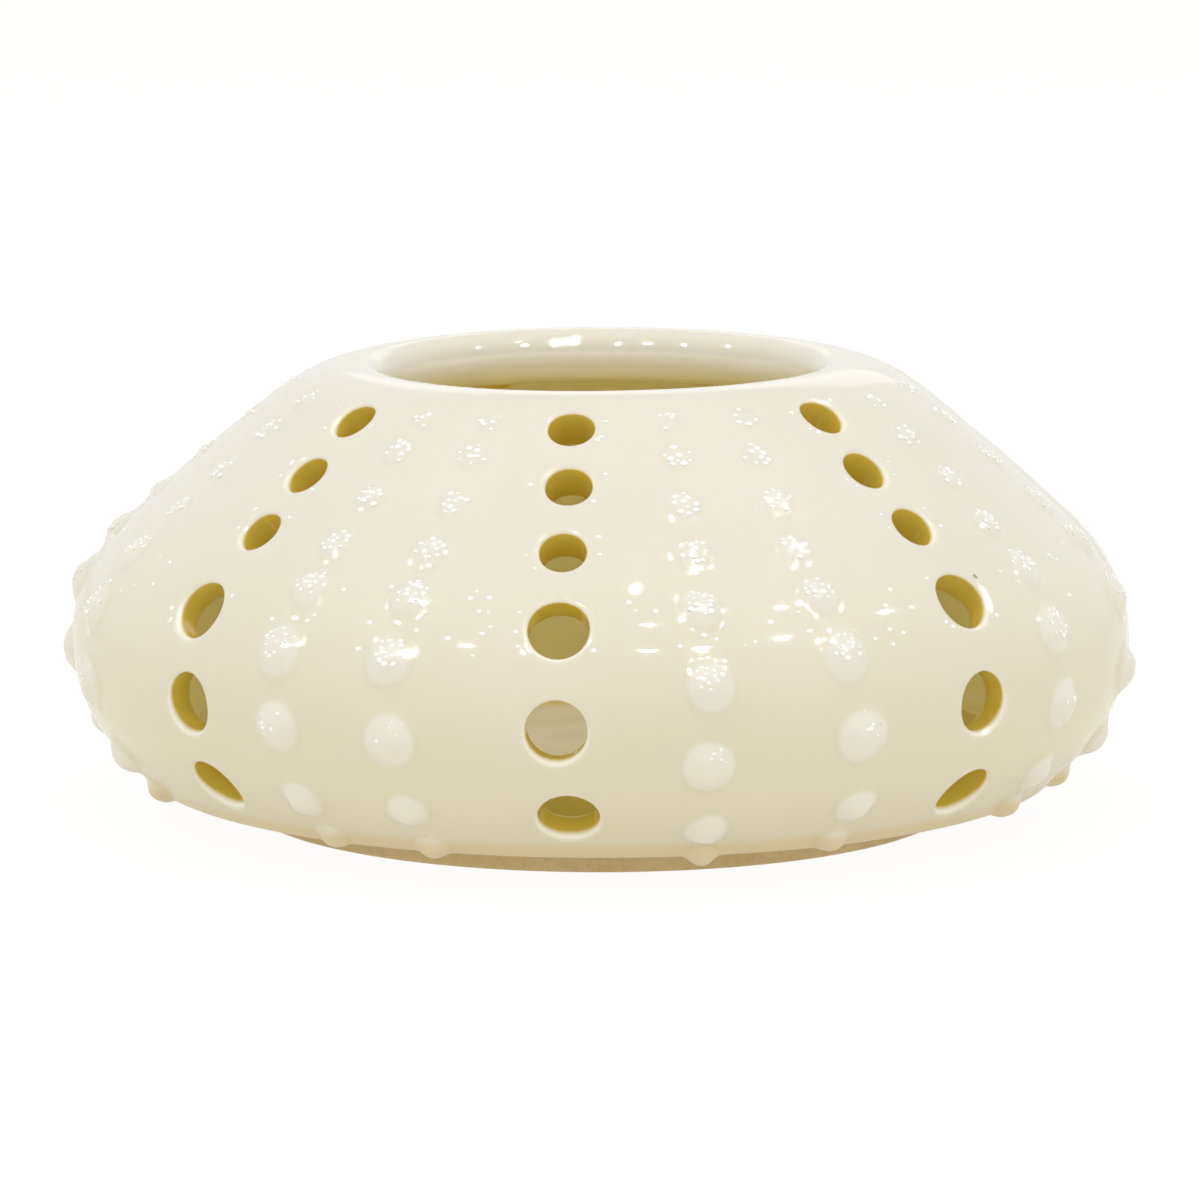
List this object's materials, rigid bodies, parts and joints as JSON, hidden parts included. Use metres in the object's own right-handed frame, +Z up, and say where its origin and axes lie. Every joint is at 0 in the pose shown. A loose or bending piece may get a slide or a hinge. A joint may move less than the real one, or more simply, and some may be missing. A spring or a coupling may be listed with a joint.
{
  "type": "flower frog",
  "caption": "Squat glazed ceramic flower frog shaped like a sea urchin shell, with a wide mouth, columns of stem holes and rows of raised slip beads.",
  "frame": {"origin": "centre of the foot, on the plane it stands on", "axes": "+Z up through the mouth; -Y passes through the first column of stem holes"},
  "size_m": [0.1533, 0.1512, 0.0637],
  "materials": {
    "ivory_glaze": "glossy ivory glaze",
    "floor_glaze": "ivory glaze, pooled and warmer",
    "slip_bead_glaze": "glossy ivory glaze over white slip",
    "foot_clay": "thin glaze wiped back to fired buff clay"
  },
  "bodies": {
    "root": {"body_wall": "ivory_glaze", "base_floor": "floor_glaze", "foot_ring": "foot_clay", "bead_row_01": "slip_bead_glaze", "bead_row_02": "slip_bead_glaze", "bead_row_03": "slip_bead_glaze", "bead_row_04": "slip_bead_glaze", "bead_row_05": "slip_bead_glaze", "bead_row_06": "slip_bead_glaze", "bead_row_07": "slip_bead_glaze", "bead_row_08": "slip_bead_glaze", "bead_row_09": "slip_bead_glaze", "bead_row_10": "slip_bead_glaze", "bead_row_11": "slip_bead_glaze", "bead_row_12": "slip_bead_glaze", "bead_row_13": "slip_bead_glaze", "bead_row_14": "slip_bead_glaze"}
  },
  "joints": []
}
